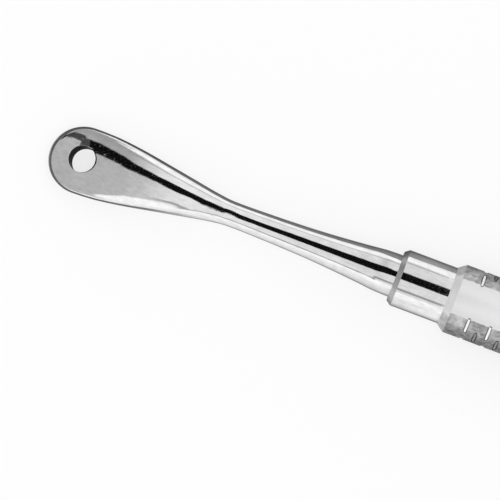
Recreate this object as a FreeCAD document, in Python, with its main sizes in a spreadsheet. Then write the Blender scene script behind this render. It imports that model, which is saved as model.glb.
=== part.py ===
"""Periosteal elevator with a pierced paddle, a polished ferrule and a notched tube handle.

The instrument lies along X with its tip towards -X, and rests on the lowest line of the handle at Z = 0.
Every piece is modelled on the handle's axis, counted from the front face of the ferrule, and the bodies'
placements then carry the whole instrument to the middle of its length and up to the table. Millimetres.
"""

import FreeCAD, Part

import os

import Sketcher

# name, value, meaning. Lengths in millimetres, angles in degrees.
SIZES = [
    ("shank_diameter", 5.86, "shank where it leaves the ferrule"),
    ("neck_diameter", 3.44, "narrowest, round part of the shank"),
    ("paddle_width", 9.16, "paddle at the eye"),
    ("belly_thickness", 4.3, "thickest part of the blade, between neck and eye"),
    ("paddle_thickness", 3.1, "paddle at the eye"),
    ("shank_length", 23.5, "ferrule to neck"),
    ("blade_length", 20.9, "neck to the centre of the eye, along the bend"),
    ("bend_start", 20.85, "straight part of the shank before the bend, which lets the tip touch the table"),
    ("bend_radius", 90.0, "bend of the blade's middle line"),
    ("bend_angle", 12.0, "how far the paddle turns down"),
    ("tip_reach", 4.72, "centre of the eye to the tip, along the paddle"),
    ("eye_diameter", 3.65, "hole through the paddle"),
    ("eye_rim", 0.18, "broken edge round the hole"),
    ("tang_diameter", 4.0, "hidden stem behind the shank"),
    ("tang_length", 14.0, "how deep the tang sits in the ferrule"),
    ("ferrule_diameter", 7.84, "polished collar, and the head of the end plug"),
    ("ferrule_length", 7.36, "polished collar in front of the handle"),
    ("plug_length", 2.0, "head of the end plug behind the handle"),
    ("collar_chamfer_along", 0.65, "chamfer of the ferrule and plug, along the axis"),
    ("collar_chamfer_in", 0.48, "chamfer of the ferrule and plug, inwards"),
    ("spigot_length", 9.0, "how deep the ferrule and the plug sit in the tube"),
    ("spigot_chamfer", 0.4, "lead-in of both spigots"),
    ("tube_diameter", 9.5, "handle tube, outside"),
    ("tube_bore", 7.0, "handle tube, inside"),
    ("tube_length", 105.0, "handle tube"),
    ("tube_chamfer_along", 1.05, "chamfer at both ends of the tube, along the axis"),
    ("tube_chamfer_in", 0.77, "chamfer at both ends of the tube, inwards"),
    ("seat_gap", 0.02, "clearance round the tang and the spigots, on the radius"),
    ("notch_depth", 0.24, "grip notch"),
    ("notch_width", 0.64, "grip notch at the tube's surface"),
    ("notch_floor", 0.28, "flat bottom of a grip notch"),
    ("notch_inset", 3.7, "first and last notch from the ends of the tube"),
    ("notch_pitch", 3.0, "notches of one row, along the tube"),
    ("notch_angle", 45.0, "first and last row from the bare flanks"),
]

# The shank between ferrule and neck: how far along it is, and how much of the extra thickness is left.
SHANK_TAPER = [
    (0.0, 1.0),
    (0.04, 0.99),
    (0.1, 0.935),
    (0.2, 0.735),
    (0.38, 0.43),
    (0.55, 0.22),
    (0.77, 0.06),
    (1.0, 0.0),
]

# The blade from neck to eye: how far along it is, how much of the paddle's width it has reached, and its
# thickness as a share of the belly's, counted from the neck before the belly and from the eye behind it.
BLADE_RISE = [(0.12, 0.1, 0.2), (0.25, 0.265, 0.63), (0.45, 0.53, 1.0)]
BLADE_FALL = [(0.65, 0.785, 0.83), (0.82, 0.945, 0.38), (0.93, 0.993, 0.07), (1.0, 1.0, 0.0)]

# Rows of notches on each side of the tube.
NOTCH_ROWS = 5

# The eye's distance from the ferrule along the blade.
EYE = "(sizes.shank_length + sizes.blade_length)"

# Sketch points: the sketch's own origin, and the centre of a circle or an ellipse.
ORIGIN = (-1, 1)
CENTRE = 3


def make_sheet(doc):
    sheet = doc.addObject("Spreadsheet::Sheet", "sizes")
    for row, (name, value, meaning) in enumerate(SIZES, start=1):
        sheet.set(f"A{row}", name)
        sheet.set(f"B{row}", str(value))
        sheet.set(f"C{row}", meaning)
        sheet.setAlias(f"B{row}", name)
    doc.recompute()
    return sheet


def make_body(doc, label):
    body = doc.addObject("PartDesign::Body", label)
    body.Label = label
    return body


def origin_plane(body, role):
    return next(feature for feature in body.Origin.OriginFeatures if feature.Role == role)


def new_sketch(body, name, role):
    sketch = body.newObject("Sketcher::SketchObject", name)
    sketch.AttachmentSupport = (origin_plane(body, role), "")
    sketch.MapMode = "FlatFace"
    return sketch


def add_size(sketch, name, kind, *target, size):
    """Adds a dimension to a sketch and ties it to the sheet."""
    sketch.addConstraint(Sketcher.Constraint(kind, *target, 1.0))
    sketch.renameConstraint(sketch.ConstraintCount - 1, name)
    sketch.setExpression(f"Constraints.{name}", size)


def evaluate(body, expression):
    """The number that an expression gives, for a sketch's first, unsolved position."""
    value = body.evalExpression(expression)
    return float(getattr(value, "Value", value))


def draw_polygon(sketch, body, outline):
    """Draws a closed outline. Each corner is a pair of expressions, across and up the sketch."""
    corners = [FreeCAD.Vector(evaluate(body, across), evaluate(body, up), 0) for across, up in outline]
    for index, corner in enumerate(corners):
        sketch.addGeometry(Part.LineSegment(corner, corners[(index + 1) % len(corners)]))
    for index in range(len(corners)):
        sketch.addConstraint(Sketcher.Constraint("Coincident", index, 2, (index + 1) % len(corners), 1))
    for index, (across, up) in enumerate(outline):
        for kind, place, size in (("DistanceX", corners[index].x, across), ("DistanceY", corners[index].y, up)):
            sketch.addConstraint(Sketcher.Constraint(kind, *ORIGIN, index, 1, place))
            sketch.setExpression(f"Constraints[{sketch.ConstraintCount - 1}]", size)


def turn_on_lathe(body, name, outline):
    """Revolves an outline about X. Each corner is a pair of expressions: place along X, and radius."""
    sketch = new_sketch(body, name + "_outline", "XZ_Plane")
    draw_polygon(sketch, body, outline)
    turned = body.newObject("PartDesign::Revolution", name)
    turned.Profile = sketch
    turned.ReferenceAxis = (sketch, ["H_Axis"])
    turned.Angle = 360


def bend_turn(along):
    """How far the blade's middle line has turned down at a distance from the ferrule, in degrees."""
    arc = f"max({along} - sizes.bend_start; 0) / sizes.bend_radius * 180 / pi"
    return f"min({arc}; sizes.bend_angle)"


def bend_place(along):
    """Where the blade's middle line is at a distance from the ferrule: X and Z, both zero or less."""
    turn = bend_turn(along)
    past = f"max({along} - sizes.bend_start - sizes.bend_radius * sizes.bend_angle * pi / 180; 0)"
    reach = f"min({along}; sizes.bend_start) + sizes.bend_radius * sin({turn}) + ({past}) * cos({turn})"
    drop = f"sizes.bend_radius * (1 - cos({turn})) + ({past}) * sin({turn})"
    return f"-({reach})", f"-({drop})"


def blade_stations():
    """The blade's sections: distance from the ferrule, width and thickness, as expressions."""
    stations = []
    for part, left in SHANK_TAPER:
        size = f"sizes.neck_diameter + {left} * (sizes.shank_diameter - sizes.neck_diameter)"
        stations.append((f"{part} * sizes.shank_length", size, size))
    for part, reached, share in BLADE_RISE:
        stations.append(paddle_station(part, reached, share, "sizes.neck_diameter"))
    for part, reached, share in BLADE_FALL:
        stations.append(paddle_station(part, reached, share, "sizes.paddle_thickness"))
    return stations


def paddle_station(part, reached, share, thin):
    """One section between neck and eye, as thick as its share of the way from the thin end to the belly."""
    along = f"sizes.shank_length + {part} * sizes.blade_length"
    width = f"sizes.neck_diameter + {reached} * (sizes.paddle_width - sizes.neck_diameter)"
    thickness = f"{thin} + {share} * (sizes.belly_thickness - {thin})"
    return along, width, thickness


def place_across_blade(sketch, along):
    """Stands a YZ sketch square to the blade's middle line."""
    reach, drop = bend_place(along)
    sketch.AttachmentOffset = FreeCAD.Placement(FreeCAD.Vector(), FreeCAD.Rotation(FreeCAD.Vector(1, 0, 0), -1))
    sketch.setExpression("AttachmentOffset.Base.z", reach)
    sketch.setExpression("AttachmentOffset.Base.y", drop)
    sketch.setExpression("AttachmentOffset.Rotation.Angle", f"-({bend_turn(along)})")


def add_round(sketch, diameter):
    sketch.addGeometry(Part.Circle(FreeCAD.Vector(), FreeCAD.Vector(0, 0, 1), 1.0))
    sketch.addConstraint(Sketcher.Constraint("Coincident", 0, CENTRE, *ORIGIN))
    add_size(sketch, "across", "Diameter", 0, size=diameter)


def add_oval(sketch, width, thickness):
    sketch.addGeometry(Part.Ellipse(FreeCAD.Vector(2, 0, 0), FreeCAD.Vector(0, 1, 0), FreeCAD.Vector()))
    sketch.exposeInternalGeometry(0)
    long_axis, short_axis = 1, 2
    sketch.addConstraint(Sketcher.Constraint("Coincident", 0, CENTRE, *ORIGIN))
    sketch.addConstraint(Sketcher.Constraint("Horizontal", long_axis))
    add_size(sketch, "width", "Distance", long_axis, size=width)
    add_size(sketch, "thickness", "Distance", short_axis, size=thickness)


def make_blade(doc):
    """Tang, round shank, bent paddle with a round end, and the eye: one forging."""
    body = make_body(doc, "blade")
    sections = []
    for index, (along, width, thickness) in enumerate(blade_stations()):
        sketch = new_sketch(body, f"section_{index}", "YZ_Plane")
        place_across_blade(sketch, along)
        if width == thickness:
            add_round(sketch, width)
        else:
            add_oval(sketch, width, thickness)
        sections.append(sketch)
    doc.recompute()
    shank = body.newObject("PartDesign::AdditiveLoft", "shank_and_paddle")
    shank.Profile = sections[0]
    shank.Sections = sections[1:]
    doc.recompute()
    eye_outline = draw_eye(body)
    doc.recompute()
    add_round_end(body, eye_outline)
    doc.recompute()
    turn_on_lathe(
        body,
        "tang",
        [
            ("0", "0"),
            ("0", "sizes.tang_diameter / 2"),
            ("sizes.tang_length", "sizes.tang_diameter / 2"),
            ("sizes.tang_length", "0"),
        ],
    )
    doc.recompute()
    pierce_eye(doc, body, eye_outline)
    return body


def add_round_end(body, eye_outline):
    """Half an ellipsoid about the eye's centre, as wide and as thick as the blade there."""
    round_end = body.newObject("PartDesign::AdditiveEllipsoid", "round_end")
    round_end.AttachmentSupport = (eye_outline, "")
    round_end.MapMode = "FlatFace"
    round_end.AttachmentOffset = FreeCAD.Placement(FreeCAD.Vector(), FreeCAD.Rotation(FreeCAD.Vector(0, 0, 1), 90))
    round_end.Angle3 = 180
    round_end.setExpression("Radius1", "sizes.paddle_thickness / 2")
    round_end.setExpression("Radius2", "sizes.paddle_width / 2")
    round_end.setExpression("Radius3", "sizes.tip_reach")


def draw_eye(body):
    """The outline of the hole, on a plane that is turned down with the paddle."""
    sketch = new_sketch(body, "eye_outline", "XY_Plane")
    reach, drop = bend_place(EYE)
    sketch.AttachmentOffset = FreeCAD.Placement(FreeCAD.Vector(), FreeCAD.Rotation(FreeCAD.Vector(0, 1, 0), -1))
    sketch.setExpression("AttachmentOffset.Base.x", reach)
    sketch.setExpression("AttachmentOffset.Base.z", drop)
    sketch.setExpression("AttachmentOffset.Rotation.Angle", f"-({bend_turn(EYE)})")
    add_round(sketch, "sizes.eye_diameter")
    return sketch


def pierce_eye(doc, body, eye_outline):
    """The hole stands square to the paddle, and its two rims are broken."""
    eye = body.newObject("PartDesign::Pocket", "eye")
    eye.Profile = eye_outline
    eye.Midplane = True
    eye.setExpression("Length", "2 * sizes.belly_thickness")
    doc.recompute()
    radius = evaluate(body, "sizes.eye_diameter / 2")
    wall = [face for face in eye.Shape.Faces if is_round_wall(face, radius)]
    rims = [
        f"Edge{index}"
        for index, edge in enumerate(eye.Shape.Edges, start=1)
        if not is_straight(edge) and any(edge.isSame(side) for face in wall for side in face.Edges)
    ]
    rim = body.newObject("PartDesign::Chamfer", "eye_rims")
    rim.Base = (eye, rims)
    rim.setExpression("Size", "sizes.eye_rim")
    doc.recompute()


def is_round_wall(face, radius):
    return isinstance(face.Surface, Part.Cylinder) and abs(face.Surface.Radius - radius) < 1e-6


def is_straight(edge):
    return isinstance(edge.Curve, Part.Line)


def make_ferrule(doc):
    """Polished collar with a spigot for the tube behind it, bored through for the tang."""
    body = make_body(doc, "ferrule")
    bore = "sizes.tang_diameter / 2 + sizes.seat_gap"
    collar = "sizes.ferrule_diameter / 2"
    spigot = "sizes.tube_bore / 2 - sizes.seat_gap"
    end = "sizes.ferrule_length + sizes.spigot_length"
    turn_on_lathe(
        body,
        "turned_ferrule",
        [
            ("0", bore),
            ("0", f"{collar} - sizes.collar_chamfer_in"),
            ("sizes.collar_chamfer_along", collar),
            ("sizes.ferrule_length", collar),
            ("sizes.ferrule_length", spigot),
            (f"{end} - sizes.spigot_chamfer", spigot),
            (end, f"{spigot} - sizes.spigot_chamfer"),
            (end, bore),
        ],
    )
    return body


def make_handle(doc):
    """Drawn tube, chamfered at both ends and cut with rows of short grip notches."""
    body = make_body(doc, "handle")
    front = "sizes.ferrule_length"
    back = "sizes.ferrule_length + sizes.tube_length"
    bore = "sizes.tube_bore / 2"
    wall = "sizes.tube_diameter / 2"
    turn_on_lathe(
        body,
        "tube",
        [
            (front, bore),
            (front, f"{wall} - sizes.tube_chamfer_in"),
            (f"{front} + sizes.tube_chamfer_along", wall),
            (f"{back} - sizes.tube_chamfer_along", wall),
            (back, f"{wall} - sizes.tube_chamfer_in"),
            (back, bore),
        ],
    )
    doc.recompute()
    cut_notches(doc, body)
    return body


def cut_notches(doc, body):
    """Rows of short straight notches on both sides, every other row half a pitch further along."""
    first = []
    for row in range(NOTCH_ROWS):
        angle = f"sizes.notch_angle + {row} * (180 - 2 * sizes.notch_angle) / {NOTCH_ROWS - 1}"
        first.append(cut_first_notch(body, row, angle, f"{row % 2} * sizes.notch_pitch / 2"))
    doc.recompute()
    across = doc.addObject("PartDesign::Mirrored", "notches_across")
    across.MirrorPlane = (origin_plane(body, "XZ_Plane"), [""])
    along = doc.addObject("PartDesign::LinearPattern", "notches_along")
    along.Direction = (origin_plane(body, "X_Axis"), [""])
    room = "sizes.tube_length - 2 * sizes.notch_inset - sizes.notch_pitch / 2"
    along.setExpression("Length", f"floor(({room}) / sizes.notch_pitch) * sizes.notch_pitch")
    along.setExpression("Occurrences", f"floor(({room}) / sizes.notch_pitch) + 1")
    for step in (across, along):
        body.addObject(step)
    notches = body.newObject("PartDesign::MultiTransform", "notches")
    notches.Originals = first
    notches.Transformations = [across, along]
    notches.Refine = False
    body.Tip = notches
    doc.recompute()


def cut_first_notch(body, row, angle, offset):
    """The notch of a row nearest the ferrule: sloping sides and a flat floor, straight across the tube."""
    sketch = new_sketch(body, f"notch_outline_{row}", "XZ_Plane")
    sketch.AttachmentOffset = FreeCAD.Placement(FreeCAD.Vector(), FreeCAD.Rotation(FreeCAD.Vector(1, 0, 0), 1))
    sketch.setExpression("AttachmentOffset.Rotation.Angle", angle)
    sketch.setExpression("AttachmentOffset.Base.x", f"sizes.ferrule_length + sizes.notch_inset + {offset}")
    surface = "sizes.tube_diameter / 2"
    mouth = "sizes.notch_width - sizes.notch_floor / 2"
    draw_polygon(
        sketch,
        body,
        [
            ("-sizes.notch_floor / 2", f"{surface} - sizes.notch_depth"),
            ("sizes.notch_floor / 2", f"{surface} - sizes.notch_depth"),
            (mouth, f"{surface} + sizes.notch_depth"),
            (f"-({mouth})", f"{surface} + sizes.notch_depth"),
        ],
    )
    notch = body.newObject("PartDesign::Pocket", f"notch_{row}")
    notch.Profile = sketch
    notch.Midplane = True
    notch.setExpression("Length", "sizes.tube_diameter / 2")
    notch.Refine = False
    return notch


def make_end_plug(doc):
    """Closes the far end of the tube: a short chamfered head on a spigot."""
    body = make_body(doc, "end_plug")
    seat = "sizes.ferrule_length + sizes.tube_length"
    head = "sizes.ferrule_diameter / 2"
    spigot = "sizes.tube_bore / 2 - sizes.seat_gap"
    turn_on_lathe(
        body,
        "turned_plug",
        [
            (f"{seat} - sizes.spigot_length", "0"),
            (f"{seat} - sizes.spigot_length", f"{spigot} - sizes.spigot_chamfer"),
            (f"{seat} - sizes.spigot_length + sizes.spigot_chamfer", spigot),
            (seat, spigot),
            (seat, head),
            (f"{seat} + sizes.plug_length - sizes.collar_chamfer_along", head),
            (f"{seat} + sizes.plug_length", f"{head} - sizes.collar_chamfer_in"),
            (f"{seat} + sizes.plug_length", "0"),
        ],
    )
    return body


def set_down(bodies):
    """Moves the pieces together: the middle of the length to X = 0, the handle's lowest line to Z = 0."""
    reach, _ = bend_place(EYE)
    turn = bend_turn(EYE)
    tip = f"sqrt((sizes.tip_reach * cos({turn})) ^ 2 + (sizes.paddle_thickness / 2 * sin({turn})) ^ 2)"
    back = "sizes.ferrule_length + sizes.tube_length + sizes.plug_length"
    for body in bodies:
        body.setExpression("Placement.Base.x", f"-({back} + ({reach}) - {tip}) / 2")
        body.setExpression("Placement.Base.z", "sizes.tube_diameter / 2")


def check(doc, bodies):
    for item in doc.Objects:
        if {"Invalid", "Error"} & set(item.State):
            raise RuntimeError(f"{item.Name} failed: {item.State}")
    for body in bodies:
        if body.Shape.isNull() or not body.Shape.isValid() or len(body.Shape.Solids) != 1:
            raise RuntimeError(f"{body.Label} is not one valid solid")


def main():
    doc = FreeCAD.newDocument("periosteal_elevator")
    make_sheet(doc)
    bodies = [make_blade(doc), make_ferrule(doc), make_handle(doc), make_end_plug(doc)]
    set_down(bodies)
    doc.recompute()
    check(doc, bodies)
    os.makedirs("parts", exist_ok=True)
    for body in bodies:
        body.Shape.exportStep(f"parts/{body.Label}.step")


main()
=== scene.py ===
"""A periosteal elevator, lying on a pale table under a studio's long soft lights."""

import math

import bmesh
import bpy
from mathutils import Matrix, Vector


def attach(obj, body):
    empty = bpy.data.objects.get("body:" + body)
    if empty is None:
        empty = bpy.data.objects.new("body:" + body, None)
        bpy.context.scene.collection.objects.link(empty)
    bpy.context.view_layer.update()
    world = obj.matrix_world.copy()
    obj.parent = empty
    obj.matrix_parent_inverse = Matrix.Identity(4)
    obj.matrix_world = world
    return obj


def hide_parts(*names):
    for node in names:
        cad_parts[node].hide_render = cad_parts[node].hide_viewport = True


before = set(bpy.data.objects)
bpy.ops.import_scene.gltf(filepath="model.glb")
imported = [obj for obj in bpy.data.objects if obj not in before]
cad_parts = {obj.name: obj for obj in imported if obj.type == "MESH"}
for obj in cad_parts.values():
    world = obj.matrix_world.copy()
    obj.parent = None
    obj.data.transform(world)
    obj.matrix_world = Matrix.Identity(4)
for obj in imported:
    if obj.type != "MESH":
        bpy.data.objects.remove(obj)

MILLIMETRE = 0.001
WHITE = (1, 1, 1, 1)
NOISE_MIDDLE = 0.5

# The middle of the ferrule's front face in millimetres, and the handle's axis in metres.
FERRULE_FACE = Vector((-32.786, 0, 4.75))
AXIS_HEIGHT = 0.00475

# The picture: 500 pixels a side, 7.54 of them to a millimetre.
PICTURE_WIDTH = 500 / 7540
CAMERA_DISTANCE = 0.9
CAMERA_CLIP = (0.05, 10)
SENSOR = 36
SLOPE = math.radians(20.7)
LEAN = math.radians(6)
AIM_ALONG = -0.05207
AIM_ACROSS = -0.003606


class Wire:
    """A socket that takes part in sums as a number does."""

    def __init__(self, bench, socket):
        self.bench = bench
        self.socket = socket

    def apply(self, operation, *others):
        inputs = dict(enumerate((self, *others)))
        return self.bench.add("ShaderNodeMath", {"operation": operation}, inputs)

    def __add__(self, other):
        return self.apply("ADD", other)

    __radd__ = __add__

    def __mul__(self, other):
        return self.apply("MULTIPLY", other)

    __rmul__ = __mul__

    def __sub__(self, other):
        return self.apply("SUBTRACT", other)

    def __rsub__(self, other):
        return -self + other

    def __truediv__(self, other):
        return self.apply("DIVIDE", other)

    def __neg__(self):
        return self.apply("MULTIPLY", -1)


class Bench:
    """Builds the nodes of one material or world."""

    def __init__(self, owner):
        owner.use_nodes = True
        self.owner = owner
        self.tree = owner.node_tree
        self.tree.nodes.clear()

    def add(self, kind, settings=None, inputs=None, output=0):
        node = self.tree.nodes.new(kind)
        for name, value in (settings or {}).items():
            setattr(node, name, value)
        for name, value in (inputs or {}).items():
            if isinstance(value, Wire):
                self.tree.links.new(value.socket, node.inputs[name])
            else:
                node.inputs[name].default_value = value
        return Wire(self, node.outputs[output]) if node.outputs else node

    def object_place(self):
        """Where a point lies on its own object, in metres."""
        return self.add("ShaderNodeTexCoord", output=3)

    def split(self, vector):
        """The three parts of a vector."""
        node = self.add("ShaderNodeSeparateXYZ", None, {"Vector": vector}).socket.node
        return [Wire(self, socket) for socket in node.outputs]

    def noise(self, place, scale, detail):
        inputs = {"Vector": place, "Scale": scale, "Detail": detail}
        return self.add("ShaderNodeTexNoise", None, inputs)

    def rise(self, value, start, end):
        """Zero before start, one after end, and smooth between them."""
        settings = {"interpolation_type": "SMOOTHSTEP"}
        inputs = {"Value": value, "From Min": start, "From Max": end}
        return self.add("ShaderNodeMapRange", settings, inputs)

    def strip(self, value, low, high, soft):
        """One between low and high, with soft edges."""
        inside = self.rise(value, low - soft, low + soft)
        return inside * (1 - self.rise(value, high - soft, high + soft))

    def course(self, value, stations):
        """A line through stations, each a distance and a size, read at a distance that varies."""
        line = stations[0][1]
        for (start, first), (end, second) in zip(stations, stations[1:]):
            inputs = {"Value": value, "From Min": start, "From Max": end}
            line = line + (second - first) * self.add("ShaderNodeMapRange", None, inputs)
        return line

    def glow(self, light):
        return self.add("ShaderNodeEmission", None, {"Color": WHITE, "Strength": light})

    def show(self, surface):
        self.add("ShaderNodeOutputMaterial", None, {"Surface": surface})


def place_camera():
    """Looks down across the instrument, whose axis runs down to the right through the picture."""
    toward = Vector((0, -math.sin(LEAN), math.cos(LEAN)))
    along = Vector((1, 0, 0))
    across = toward.cross(along)
    right = math.cos(SLOPE) * along + math.sin(SLOPE) * across
    up = math.cos(SLOPE) * across - math.sin(SLOPE) * along
    aim = Vector((AIM_ALONG, 0, AXIS_HEIGHT)) + AIM_ACROSS * across
    camera = bpy.data.cameras.new("camera")
    camera.sensor_width = SENSOR
    camera.lens = SENSOR * CAMERA_DISTANCE / PICTURE_WIDTH
    camera.clip_start, camera.clip_end = CAMERA_CLIP
    holder = bpy.data.objects.new("camera", camera)
    bpy.context.scene.collection.objects.link(holder)
    turn = Matrix((right, up, toward)).transposed().to_4x4()
    holder.matrix_world = Matrix.Translation(aim + CAMERA_DISTANCE * toward) @ turn
    bpy.context.scene.camera = holder


def make_piece(name, form):
    mesh = bpy.data.meshes.new(name)
    form.to_mesh(mesh)
    form.free()
    piece = bpy.data.objects.new(name, mesh)
    bpy.context.scene.collection.objects.link(piece)
    return piece


FLOOR_HALF = 1.5
FLOOR_PAINT = (0.9, 0.9, 0.9, 1)
# How much of the floor is plain white where the camera or a mirror sees it. The rest is painted.
FLOOR_WHITE = 0.7
WHITE_RAYS = ("Is Camera Ray", "Is Glossy Ray", "Is Transmission Ray")


def lay_floor():
    form = bmesh.new()
    bmesh.ops.create_grid(form, x_segments=1, y_segments=1, size=FLOOR_HALF)
    floor = make_piece("floor", form)
    bench = Bench(bpy.data.materials.new("pale_table"))
    paint = bench.add("ShaderNodeBsdfDiffuse", None, {"Color": FLOOR_PAINT})
    path = bench.add("ShaderNodeLightPath").socket.node
    seen = sum(Wire(bench, path.outputs[ray]) for ray in WHITE_RAYS)
    share = (seen * FLOOR_WHITE).apply("MINIMUM", FLOOR_WHITE)
    bench.show(bench.add("ShaderNodeMixShader", None, {0: share, 1: paint, 2: bench.glow(1.0)}))
    floor.data.materials.append(bench.owner)


LAMP_PLACE = Vector((-0.05, -0.12, 0.7))
LAMP_AIM = Vector((-0.04, 0, 0))
LAMP_SIZE = 0.25
LAMP_POWER = 0.95


def hang_lamp():
    """A soft lamp high above the instrument, which the metal doesn't mirror."""
    lamp = bpy.data.lights.new("key", "AREA")
    lamp.shape = "RECTANGLE"
    lamp.size = lamp.size_y = LAMP_SIZE
    lamp.energy = LAMP_POWER
    holder = bpy.data.objects.new("key", lamp)
    bpy.context.scene.collection.objects.link(holder)
    turn = (LAMP_PLACE - LAMP_AIM).to_track_quat("Z", "X")
    holder.matrix_world = Matrix.Translation(LAMP_PLACE) @ turn.to_matrix().to_4x4()
    holder.visible_glossy = False


# The tent's light, and where it dims: by how much, and from which part of the direction to which.
TENT_LIGHT = 1.1
DIM_ABOVE = (0.08, 0.2, 0.6)
DIM_TIP = (0.55, 0.3, 0.55)
DIM_END = (0.25, 0.85, 0.97)


def light_studio():
    """An even white tent, a little dimmer straight above and darker at the tip's end."""
    world = bpy.data.worlds.new("studio")
    bpy.context.scene.world = world
    bench = Bench(world)
    direction = bench.add("ShaderNodeTexCoord")
    x, _, z = bench.split(direction)
    light = TENT_LIGHT
    for way, (loss, start, end) in ((z, DIM_ABOVE), (-x, DIM_TIP), (-x, DIM_END)):
        light = light - loss * bench.rise(way, start, end)
    shine = bench.add("ShaderNodeBackground", None, {"Color": WHITE, "Strength": light})
    bench.add("ShaderNodeOutputWorld", None, {"Surface": shine})


def leave_to_mirrors(piece, bench):
    """Dresses a piece of the studio that only the metal sees, and only in its reflections."""
    piece.data.materials.append(bench.owner)
    piece.visible_camera = piece.visible_diffuse = False
    piece.visible_shadow = piece.visible_transmission = False


def along_card(x):
    """Millimetres from the ferrule's face towards the tip."""
    return (MILLIMETRE * FERRULE_FACE.x - x) / MILLIMETRE


# The card that the polished steel mirrors: millimetres from the ferrule's face towards the tip,
# and millimetres above it and to each side.
CARD_SPAN = (-10, 900)
CARD_HEIGHT = 60
CARD_HALF = 650

# Where the dark gap along the card begins and ends: millimetres from the ferrule's face, and
# degrees from straight up, away from the camera.
GAP_NEAR = [
    (0, -10),
    (14, -16),
    (20, -19),
    (25.1, -24),
    (26.1, -15),
    (27.6, -7),
    (33.7, 2),
    (41.2, 5.5),
    (52.3, 13.5),
    (62.5, 16.6),
    (71, 17.7),
    (77.5, 19.5),
    (80.5, 21.5),
    (87.5, 23.5),
    (91, 34.5),
    (105, 39),
    (132, 46.5),
    (227, 63.5),
    (800, 83),
]
GAP_FAR = [
    (0, 17.5),
    (4, 20),
    (19, 18.5),
    (21, 14.5),
    (25.2, 15),
    (26, 21),
    (27.1, 24),
    (33.1, 26.5),
    (40.7, 30.5),
    (52.2, 32.3),
    (62.5, 34.7),
    (71, 36.5),
    (77.5, 39.5),
    (80.5, 40.9),
    (87, 42),
    (92, 47),
    (98.5, 50),
    (121, 56.5),
    (204, 70),
    (800, 86.5),
]
# The degrees over which its edges soften, and how dark it is.
GAP_SOFT = (-2.2, 1.2)
GAP_LIGHT = 0.004

# The card's light on each side of the gap's middle, and the degrees over which they meet.
NEAR_LIGHT = [
    (4, 0.85),
    (11, 0.73),
    (24, 0.93),
    (36, 0.95),
    (48, 0.8),
    (60, 0.62),
    (72, 0.55),
    (90, 0.52),
]
FAR_LIGHT = [(4, 0.82), (8, 0.68), (24, 0.95), (42, 0.97), (54, 0.86), (72, 0.5), (90, 0.4)]
MIDDLE_SOFT = (-1, 1)

# The degrees beyond which the card is white, how softly that begins, and how light it is there.
NEAR_EDGE = [
    (14, -64),
    (19, -65),
    (25, -71),
    (33, -60),
    (48, -52),
    (66, -50),
    (78, -58),
    (96, -70),
    (110, -78),
    (140, -88),
]
FAR_EDGE = [(0, 69), (90, 71), (110, 76), (140, 88)]
EDGE_SOFT = (-3, 3)
EDGE_LIGHT = 1.12

# Two dark seams along the card: how deep they are, their degrees, half width and softness, where
# they fade, how much stronger the near one starts, and how much the far one loses.
SEAM_DEPTH = 0.36
NEAR_SEAM = [(14, -50), (17, -53), (20, -62), (25, -65), (33, -50), (37, -45), (49, -43)]
NEAR_SEAM_HALF = 4.5
NEAR_SEAM_SOFT = 2
NEAR_SEAM_FADE = (36, 58)
NEAR_SEAM_SHARE = 1.6
FAR_SEAM = 62.5
FAR_SEAM_HALF = 3
FAR_SEAM_SOFT = 1.5
FAR_SEAM_FADE = (60, 90)
FAR_SEAM_LOSS = 0.8


def hang_card():
    """A softbox front with a dark gap along it, seen in the polished steel alone."""
    form = bmesh.new()
    start, end = CARD_SPAN
    corners = []
    for along, across in ((start, -1), (end, -1), (end, 1), (start, 1)):
        place = FERRULE_FACE + Vector((-along, across * CARD_HALF, CARD_HEIGHT))
        corners.append(form.verts.new(MILLIMETRE * place))
    bmesh.ops.contextual_create(form, geom=corners)
    card = make_piece("softbox_front", form)
    bench = Bench(bpy.data.materials.new("softbox_front"))
    x, y, _ = bench.split(bench.object_place())
    along = along_card(x)
    turn = (y / (MILLIMETRE * CARD_HEIGHT)).apply("ARCTANGENT") * (180 / math.pi)
    near, far = bench.course(along, GAP_NEAR), bench.course(along, GAP_FAR)
    gap = bench.rise(turn - near, *GAP_SOFT) * bench.rise(far - turn, *GAP_SOFT)
    side = bench.rise(turn - (near + far) / 2, *MIDDLE_SOFT)
    light = bench.course(along, NEAR_LIGHT)
    light = light + side * (bench.course(along, FAR_LIGHT) - light)
    light = light * (1 - SEAM_DEPTH * card_seams(bench, along, turn))
    white = bench.rise(bench.course(along, NEAR_EDGE) - turn, *EDGE_SOFT)
    white = white + bench.rise(turn - bench.course(along, FAR_EDGE), *EDGE_SOFT)
    light = light + white * (EDGE_LIGHT - light)
    light = light + gap * (GAP_LIGHT - light)
    bench.show(bench.glow(light))
    leave_to_mirrors(card, bench)


def card_seams(bench, along, turn):
    """How strongly the card's two seams show."""
    off = turn - bench.course(along, NEAR_SEAM)
    near = bench.strip(off, -NEAR_SEAM_HALF, NEAR_SEAM_HALF, NEAR_SEAM_SOFT)
    near = near * (NEAR_SEAM_SHARE - NEAR_SEAM_SHARE * bench.rise(along, *NEAR_SEAM_FADE))
    far = bench.strip(turn, FAR_SEAM - FAR_SEAM_HALF, FAR_SEAM + FAR_SEAM_HALF, FAR_SEAM_SOFT)
    return near + far * (1 - FAR_SEAM_LOSS * bench.rise(along, *FAR_SEAM_FADE))


# The corners of a thin grey veil above the tip, and its height, in millimetres.
VEIL = [(-79.1, 1.5), (-81.8, 15.5), (-110, 15.5), (-110, 1.5)]
VEIL_HEIGHT = 8.35
VEIL_LIGHT = 0.9
VEIL_SHARE = 0.07


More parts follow.
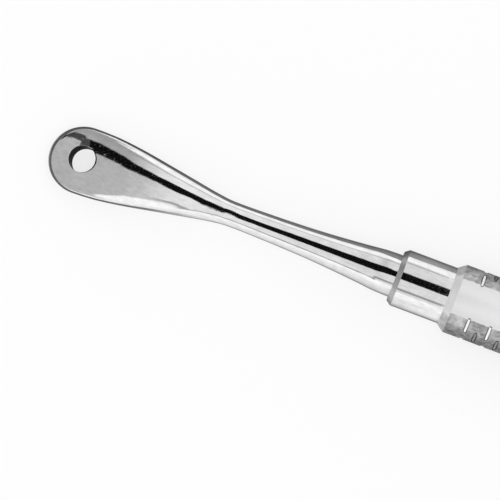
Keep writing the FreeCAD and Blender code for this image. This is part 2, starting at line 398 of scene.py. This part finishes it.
def hang_veil():
    """A veil that greys what the paddle's round end mirrors of the gap."""
    form = bmesh.new()
    corners = [form.verts.new(MILLIMETRE * Vector((*corner, VEIL_HEIGHT))) for corner in VEIL]
    bmesh.ops.contextual_create(form, geom=corners)
    veil = make_piece("veil", form)
    bench = Bench(bpy.data.materials.new("veil"))
    clear = bench.add("ShaderNodeBsdfTransparent")
    inputs = {0: VEIL_SHARE, 1: clear, 2: bench.glow(VEIL_LIGHT)}
    bench.show(bench.add("ShaderNodeMixShader", None, inputs))
    leave_to_mirrors(veil, bench)


# The low flags that draw dark rims on the polished steel: distance along, gap beside the
# axis, and the heights of the far one's top and the near one's.
FLAG_STOPS = [
    (-110, 7.4, 6.8, 6.8),
    (-7, 7.4, 6.8, 6.8),
    (0, 7, 7.2, 6),
    (4, 6, 6, 4.6),
    (24, 5.6, 5.5, 4.2),
    (34, 5.8, 4.3, 3.4),
    (42, 6, 2.8, 2.4),
    (47, 5, 2.1, 1.9),
    (50, 2.4, 1.8, 1.7),
    (50.6, 0, 1.7, 1.7),
]
FLAG_FOOT = 0.1
# Each flag's side, the place of its height in a stop, and its light along the instrument.
FLAGS = {
    "far_flag": (1, 2, [(-8, 0.34), (-4, 0.42), (0, 0.28), (30, 0.2), (38, 0.12)]),
    "near_flag": (-1, 3, [(-9, 0.35), (-7, 1.1), (0, 0.9), (26, 1), (34, 0.25), (42, 0.15)]),
}


def stand_flags():
    """Grey flags close beside the instrument, seen in its metal alone."""
    for name, (side, height, lights) in FLAGS.items():
        form = bmesh.new()
        feet = []
        for stop in FLAG_STOPS:
            foot = Vector((FERRULE_FACE.x - stop[0], side * stop[1], FLAG_FOOT))
            feet.append(form.verts.new(MILLIMETRE * foot))
        edges = [form.edges.new(pair) for pair in zip(feet, feet[1:])]
        drawn = bmesh.ops.extrude_edge_only(form, edges=edges)["geom"]
        tops = [vert for vert in drawn if isinstance(vert, bmesh.types.BMVert)]
        tops.sort(key=lambda vert: -vert.co.x)
        for vert, stop in zip(tops, FLAG_STOPS):
            vert.co.z = MILLIMETRE * stop[height]
        flag = make_piece(name, form)
        bench = Bench(bpy.data.materials.new(name))
        x, _, _ = bench.split(bench.object_place())
        bench.show(bench.glow(bench.course(along_card(x), lights)))
        leave_to_mirrors(flag, bench)


# The blade's sections: millimetres from the ferrule, width and thickness. The shank is round.
SHANK = [
    (0, 5.86),
    (0.94, 5.836),
    (2.35, 5.703),
    (4.7, 5.219),
    (8.93, 4.481),
    (12.925, 3.972),
    (18.095, 3.585),
]
PADDLE = [
    (23.5, 3.44, 3.44),
    (26.01, 4.01, 3.61),
    (28.73, 4.96, 3.98),
    (32.91, 6.47, 4.3),
    (37.09, 7.93, 4.1),
    (40.64, 8.85, 3.56),
    (42.94, 9.12, 3.18),
    (44.4, 9.16, 3.1),
]
EYE_ALONG = PADDLE[-1][0]
TIP_REACH = 4.84
BEND_START = 20.85
BEND_RADIUS = 90
BEND_ANGLE = math.radians(12)
TANG_RADIUS = 2
TANG_LENGTH = 14

# The segments of a ring, the steps from the ferrule to the eye, the degrees between two rings of
# the round end, and the angle from which an edge is left crisp.
RING_SEGMENTS = 128
BLADE_STEPS = 130
ROUND_END_STEP = 3
SHARP_DEGREES = 35

# The eye's radius and broken edge, and its cutter: the steps round it, its reach beyond the
# paddle's faces, the spare depth that their rounding takes up, and the gap that welding closes.
EYE_RADIUS = 1.825
EYE_RIM = 0.1
CUTTER_STEPS = 96
CUTTER_REACH = 2
CUTTER_SPARE = 0.06
WELD_DISTANCE = 1e-5


def between(points, at):
    """A smooth line through points, each a distance and a size, read at another distance."""
    slopes = []
    for index in range(len(points)):
        before = points[max(index - 1, 0)]
        after = points[min(index + 1, len(points) - 1)]
        slopes.append((after[1] - before[1]) / (after[0] - before[0]))
    for index in range(len(points) - 1):
        (start, low), (end, high) = points[index], points[index + 1]
        if at <= end:
            break
    span = end - start
    part = (at - start) / span
    rise = part * part * (3 - 2 * part)
    bow_in = part * (1 - part) ** 2 * slopes[index] * span
    bow_out = part * part * (1 - part) * slopes[index + 1] * span
    return low + rise * (high - low) + bow_in - bow_out


def across_blade(along):
    """The frame of a section: across the blade, up through it, and its place on the middle."""
    turn = min(max(along - BEND_START, 0) / BEND_RADIUS, BEND_ANGLE)
    past = max(along - BEND_START - BEND_RADIUS * BEND_ANGLE, 0)
    reach = min(along, BEND_START) + BEND_RADIUS * math.sin(turn) + past * math.cos(turn)
    drop = BEND_RADIUS * (1 - math.cos(turn)) + past * math.sin(turn)
    middle = FERRULE_FACE - Vector((reach, 0, drop))
    up = Vector((-math.sin(turn), 0, math.cos(turn)))
    return Vector((0, 1, 0)), up, middle


def add_ring(form, along, width, thickness):
    side, up, middle = across_blade(along)
    place = Matrix((side * width, up * thickness, side.cross(up))).transposed().to_4x4()
    place.translation = middle
    place = Matrix.Scale(MILLIMETRE, 4) @ place
    settings = {"segments": RING_SEGMENTS, "radius": 0.5, "matrix": place}
    ring = bmesh.ops.create_circle(form, cap_ends=False, **settings)
    return list({edge for vert in ring["verts"] for edge in vert.link_edges})


def blade_rings(form):
    """Rings from the ferrule to the tip."""
    rings = []
    round_part = SHANK + [PADDLE[0][:2]]
    widths = round_part + [(along, width) for along, width, _ in PADDLE[1:]]
    heights = round_part + [(along, thickness) for along, _, thickness in PADDLE[1:]]
    for step in range(BLADE_STEPS + 1):
        along = EYE_ALONG * step / BLADE_STEPS
        rings.append(add_ring(form, along, between(widths, along), between(heights, along)))
    width, thickness = PADDLE[-1][1:]
    for degrees in range(ROUND_END_STEP, 90, ROUND_END_STEP):
        angle = math.radians(degrees)
        along = EYE_ALONG + TIP_REACH * math.sin(angle)
        shrink = math.cos(angle)
        rings.append(add_ring(form, along, shrink * width, shrink * thickness))
    return rings


def forge_blade():
    """Tang, tapered shank and bent paddle, with the eye cut through it."""
    form = bmesh.new()
    rings = blade_rings(form)
    for first, second in zip(rings, rings[1:]):
        bmesh.ops.bridge_loops(form, edges=first + second)
    bmesh.ops.contextual_create(form, geom=rings[-1])
    back = bmesh.ops.contextual_create(form, geom=rings[0])["faces"]
    step_in = MILLIMETRE * (SHANK[0][1] / 2 - TANG_RADIUS)
    bmesh.ops.inset_region(form, faces=back, thickness=step_in)
    drawn = bmesh.ops.extrude_discrete_faces(form, faces=back)["faces"]
    bmesh.ops.translate(form, vec=(MILLIMETRE * TANG_LENGTH, 0, 0), verts=drawn[0].verts)
    bmesh.ops.recalc_face_normals(form, faces=form.faces)
    blade = make_piece("forged_blade", form)
    cut_eye(blade)
    smooth(blade)
    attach(blade, "root")
    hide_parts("blade")
    return blade


def cut_eye(blade):
    """Bores the hole with a turned cutter whose two flared ends break the rims."""
    side, up, middle = across_blade(EYE_ALONG)
    half = PADDLE[-1][2] / 2
    flare = EYE_RIM + CUTTER_SPARE
    end = (EYE_RADIUS + CUTTER_REACH + flare, half + CUTTER_REACH)
    profile = [(0, -end[1]), (end[0], -end[1]), (EYE_RADIUS, -half + flare)]
    profile += [(EYE_RADIUS, half - flare), end, (0, end[1])]
    form = bmesh.new()
    points = [form.verts.new((out, 0, height)) for out, height in profile]
    edges = [form.edges.new(pair) for pair in zip(points, points[1:])]
    turned = {"cent": (0, 0, 0), "axis": (0, 0, 1), "angle": math.tau, "steps": CUTTER_STEPS}
    bmesh.ops.spin(form, geom=points + edges, use_merge=True, **turned)
    bmesh.ops.remove_doubles(form, verts=form.verts, dist=WELD_DISTANCE)
    bmesh.ops.recalc_face_normals(form, faces=form.faces)
    place = Matrix((side.cross(up), side, up)).transposed().to_4x4()
    place.translation = middle
    place = Matrix.Scale(MILLIMETRE, 4) @ place
    bmesh.ops.transform(form, matrix=place, verts=form.verts)
    cutter = make_piece("eye_cutter", form)
    bore = blade.modifiers.new("eye", "BOOLEAN")
    bore.operation = "DIFFERENCE"
    bore.solver = "EXACT"
    bore.object = cutter
    finished = blade.evaluated_get(bpy.context.evaluated_depsgraph_get())
    mesh = bpy.data.meshes.new_from_object(finished)
    blade.modifiers.clear()
    blade.data = mesh
    bpy.data.objects.remove(cutter)


def smooth(piece):
    """Smooth shading, with the sharp edges left crisp."""
    form = bmesh.new()
    form.from_mesh(piece.data)
    for face in form.faces:
        face.smooth = True
    for edge in form.edges:
        edge.smooth = edge.calc_face_angle(0) < math.radians(SHARP_DEGREES)
    form.to_mesh(piece.data)
    form.free()


# Every steel's darker edge, and its trace of blue.
STEEL_EDGE = (0.2, 0.2, 0.2, 1)
STEEL_BLUE = 1.01


def finish_steel(bench, shade, metallic, roughness, bump):
    blue = shade * STEEL_BLUE
    colour = {"Red": shade, "Green": shade, "Blue": blue}
    inputs = {
        "Base Color": bench.add("ShaderNodeCombineColor", None, colour),
        "Metallic": metallic,
        "Roughness": roughness,
        "Specular Tint": STEEL_EDGE,
        "Normal": bench.add("ShaderNodeBump", None, bump),
    }
    bench.show(bench.add("ShaderNodeBsdfPrincipled", None, inputs))


# Polished steel: the scale and detail of its textures, and what they do to its shade and
# roughness. The wheel draws the streaks out along the piece, and the pits are rougher on the
# paddle.
STREAKS = (3000, 4)
STREAK_SHADE = 0.3
STREAK_PULL = 0.3
CLOUDS = (900, 3)
CLOUD_SHADE = 0.2
CLOUD_ROUGHNESS = 0.05
PITS = (3600, 2)
PIT_EDGE = (0.6, 0.7)
PIT_ROUGHNESS = 0.03
PADDLE_ROUGHNESS = 0.14
PADDLE_REACH = (0.064, 0.07)
POLISHED_SHADE = 0.81
POLISHED_ROUGHNESS = 0.03
POLISHED_RIPPLE = 0.000003

# The ferrule's chamfer along X with its soft edge, rougher and with painted shade darkening its
# colour, and how far outside the eye's radius the painted shade on the wall of its bore fades
# out, in metres.
COLLAR_CHAMFER = (-0.0328, -0.0321, 0.00002)
COLLAR_PAINTED_SHADE = 0.42
CHAMFER_CLOUDS = 0.25
CHAMFER_ROUGHNESS = 0.3
WALL_EDGE = (0.000005, 0.00003)
BORE_PAINTED_SHADE = 0.95
WALL_STREAKS = 0.2
WALL_ROUGHNESS = 0.25


def polished_steel(name, chamfer=None, painted_bore_shade=False):
    """Mirror polish with the faint pull of the wheel. A turned chamfer and a bore's wall are
    rougher, with painted shade darkening their colour.
    """
    bench = Bench(bpy.data.materials.new(name))
    place = bench.object_place()
    x, y, z = bench.split(place)
    pulled = bench.add("ShaderNodeCombineXYZ", None, {"X": x * STREAK_PULL, "Y": y, "Z": z})
    streak = bench.noise(pulled, *STREAKS)
    cloud = bench.noise(place, *CLOUDS)
    pits = bench.rise(bench.noise(place, *PITS), *PIT_EDGE)
    shade = POLISHED_SHADE - STREAK_SHADE * (streak - NOISE_MIDDLE)
    shade = shade - CLOUD_SHADE * (cloud - NOISE_MIDDLE)
    rougher = PIT_ROUGHNESS + PADDLE_ROUGHNESS * bench.rise(-x, *PADDLE_REACH)
    roughness = POLISHED_ROUGHNESS + CLOUD_ROUGHNESS * cloud + pits * rougher
    if chamfer:
        # The chamfer is rougher, and painted shade darkens its colour.
        dull_and_shaded = bench.strip(x, *chamfer)
        shade = shade - dull_and_shaded * (COLLAR_PAINTED_SHADE - CHAMFER_CLOUDS * cloud)
        roughness = roughness + CHAMFER_ROUGHNESS * dull_and_shaded
    if painted_bore_shade:
        # Painted shade darkens the colour on the bore's wall, which is rougher as well.
        wall = bore_wall(bench, x, y, z)
        shade = shade * (1 - wall * (BORE_PAINTED_SHADE - WALL_STREAKS * streak))
        roughness = roughness + WALL_ROUGHNESS * wall
    bump = {"Strength": 1.0, "Distance": POLISHED_RIPPLE, "Height": streak + cloud}
    finish_steel(bench, shade, 1.0, roughness, bump)
    return bench.owner


def bore_wall(bench, x, y, z):
    """One on the wall of the eye's bore, which stands square to the paddle, where painted shade
    darkens the colour.
    """
    side, up, middle = across_blade(EYE_ALONG)
    way, middle = side.cross(up), MILLIMETRE * middle
    along = (x - middle.x) * way.x + (z - middle.z) * way.z
    start, end = (MILLIMETRE * EYE_RADIUS + edge for edge in WALL_EDGE)
    return 1 - bench.rise((along * along + y * y).apply("SQRT"), start, end)


# Satin steel: the scale and detail of its textures.
FLECKS = (1800, 3)
PATCHES = (500, 2)
GRAIN = (6000, 3)
# The bare flank's shade, its loss towards the grip bands, which is painted shade where the tube
# turns away from straight up, and the degrees over which it is lost.
FLANK_SHADE = 0.92
FLANK_PAINTED_SHADE = 0.11
FLANK_FADE = (5, 31)
FLECK_LOSS = 0.06
# The grip bands: degrees from straight up with their soft edge, the same on the tube's chamfer,
# how ragged that edge is, the span along X, and how much darker and more mottled they are. Their
# mottle is their own; their darkening is partly a coarser finish and partly painted shade on the
# tube's sides.
BAND_TURN = (31, 149, 0.6)
CHAMFER_BAND_TURN = (40, 140, 6)
RAGGED_DEGREES = 3
BAND_SPAN = (-0.0244, 0.0781, 0.00006)
BAND_LOSS = 0.34
BAND_PATCHES = 0.6
BAND_FLECKS = 0.6
# The end of the tube's front chamfer along X, and how much of a bright cut's shade it has.
CHAMFER_END = (-0.0245, -0.0243)
CHAMFER_BRIGHT = 0.3
# The notches: the radius below which they are cut bright, their span along X, and the painted
# shade along their edges.
NOTCH_RADIUS = (0.00468, 0.00472)
NOTCH_SPAN = (-0.0238, 0.0779, 0.0001)
BRIGHT_SHADE = 0.86
NOTCH_EDGE_RADIUS = (0.00465, 0.004705, 0.00001)
NOTCH_EDGE_SHADE = 0.85
# The roughness of flank, band and notch, how metallic they are, and the grain's bump.
SATIN_ROUGHNESS = 0.42
BAND_ROUGHNESS = 0.06
NOTCH_ROUGHNESS = 0.14
SATIN_METALLIC = 0.85
CHAMFER_METALLIC = 0.35
NOTCH_METALLIC = 0.15
GRAIN_STRENGTH = 0.5
GRAIN_HEIGHT = 0.00001
FLANK_GRAIN = 0.4
BAND_GRAIN = 0.6


def satin_steel():
    """Satin tube: smooth bare flanks above and below, coarser grip bands, and bright notches.
    Painted shade darkens the flanks towards the bands, the bands on the tube's sides, and the
    notches' edges.
    """
    bench = Bench(bpy.data.materials.new("satin_steel"))
    place = bench.object_place()
    x, y, z = bench.split(place)
    height = z - AXIS_HEIGHT
    turn = y.apply("ARCTAN2", height).apply("ABSOLUTE") * (180 / math.pi)
    radius = (y * y + height * height).apply("SQRT")
    fleck = bench.noise(place, *FLECKS)
    patch = bench.noise(place, *PATCHES)
    ragged = turn + RAGGED_DEGREES * (fleck - NOISE_MIDDLE)
    band = bench.strip(ragged, *BAND_TURN) * bench.strip(x, *BAND_SPAN)
    chamfer = 1 - bench.rise(x, *CHAMFER_END)
    band = band + chamfer * bench.strip(ragged, *CHAMFER_BAND_TURN)
    cut = bench.strip(x, *NOTCH_SPAN)
    notch = (1 - bench.rise(radius, *NOTCH_RADIUS)) * cut
    painted_notch_edge = bench.strip(radius, *NOTCH_EDGE_RADIUS) * cut
    # The band's darkening is partly a coarser finish and partly painted shade on the tube's
    # sides; its mottle is its own.
    band_shade_and_mottle = BAND_LOSS + BAND_PATCHES * (patch - NOISE_MIDDLE)
    band_shade_and_mottle = band_shade_and_mottle + BAND_FLECKS * (fleck - NOISE_MIDDLE)
    # Painted shade: the flank's colour darkens as the tube turns away from straight up.
    flank = FLANK_SHADE - FLANK_PAINTED_SHADE * bench.rise(turn, *FLANK_FADE)
    shade = flank - band * band_shade_and_mottle - FLECK_LOSS * fleck
    shade = shade + (notch + chamfer * CHAMFER_BRIGHT) * (BRIGHT_SHADE - shade)
    # Painted shade along the notches' edges.
    shade = shade * (1 - NOTCH_EDGE_SHADE * painted_notch_edge)
    roughness = SATIN_ROUGHNESS + BAND_ROUGHNESS * band
    roughness = roughness - notch * (roughness - NOTCH_ROUGHNESS)
    metallic = SATIN_METALLIC - CHAMFER_METALLIC * chamfer + NOTCH_METALLIC * notch
    grain = bench.noise(place, *GRAIN) * (FLANK_GRAIN + BAND_GRAIN * band) * (1 - notch)
    bump = {"Strength": GRAIN_STRENGTH, "Distance": GRAIN_HEIGHT, "Height": grain}
    finish_steel(bench, shade, metallic, roughness, bump)
    return bench.owner


def finish_nodes():
    polished = polished_steel("polished_steel", painted_bore_shade=True)
    collar = polished_steel("polished_collar", COLLAR_CHAMFER)
    plug = polished_steel("polished_plug")
    satin = satin_steel()
    forge_blade().data.materials.append(polished)
    finishes = {"blade": polished, "ferrule": collar, "handle": satin, "end_plug": plug}
    for name, material in finishes.items():
        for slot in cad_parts[name].material_slots:
            slot.material = material


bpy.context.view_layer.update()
bpy.context.scene.view_settings.view_transform = "Standard"
place_camera()
lay_floor()
hang_lamp()
light_studio()
hang_card()
hang_veil()
stand_flags()
finish_nodes()
